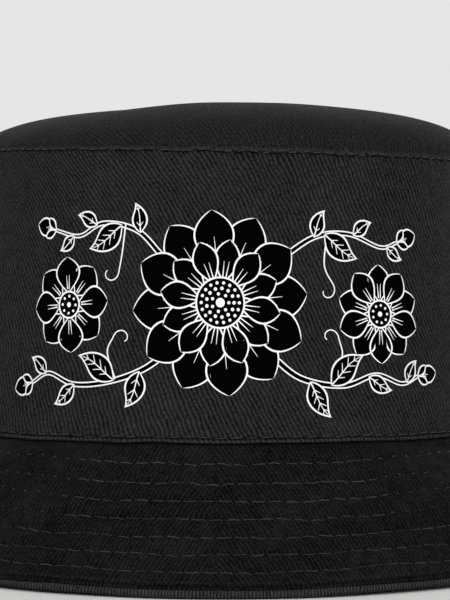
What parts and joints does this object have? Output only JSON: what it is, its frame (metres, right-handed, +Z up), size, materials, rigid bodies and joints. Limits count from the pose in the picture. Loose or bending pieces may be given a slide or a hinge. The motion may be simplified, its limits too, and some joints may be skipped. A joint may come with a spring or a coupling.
{
  "type": "bucket hat",
  "caption": "Soft bucket hat with a domed oval crown, a steep stitched brim edged with corded piping, and a cotton sweatband inside.",
  "frame": {"origin": "middle of the oval that the brim's piped edge stands on, on the floor", "axes": "+Z up through the crown, -Y to the wearer's front, +X to the wearer's left"},
  "size_m": [0.2492, 0.2716, 0.1483],
  "materials": {
    "crown_twill": "black cotton twill, matt",
    "brim_twill": "black cotton twill over stiffening, matt",
    "piping_twill": "black cotton twill cut on the bias over cord",
    "lining_cotton": "smooth black cotton, matt",
    "thread": "grey-black polyester sewing thread"
  },
  "bodies": {
    "root": {"tip_panel": "crown_twill", "side_panel_front": "crown_twill", "side_panel_back": "crown_twill", "brim_top_front": "brim_twill", "brim_top_back": "brim_twill", "brim_under_front": "brim_twill", "brim_under_back": "brim_twill", "edge_piping": "piping_twill", "sweatband": "lining_cotton", "tip_seam_tape": "lining_cotton", "side_seam_tape_left": "lining_cotton", "side_seam_tape_right": "lining_cotton", "tip_stitch": "thread", "base_stitch": "thread", "sweatband_stitch": "thread", "side_stitch_left": "thread", "side_stitch_right": "thread", "brim_stitch_1": "thread", "brim_stitch_2": "thread", "brim_stitch_3": "thread", "brim_stitch_4": "thread", "brim_stitch_5": "thread", "brim_stitch_6": "thread", "brim_stitch_7": "thread", "eyelet_left_front": "thread", "eyelet_left_back": "thread", "eyelet_right_front": "thread", "eyelet_right_back": "thread"}
  },
  "joints": []
}
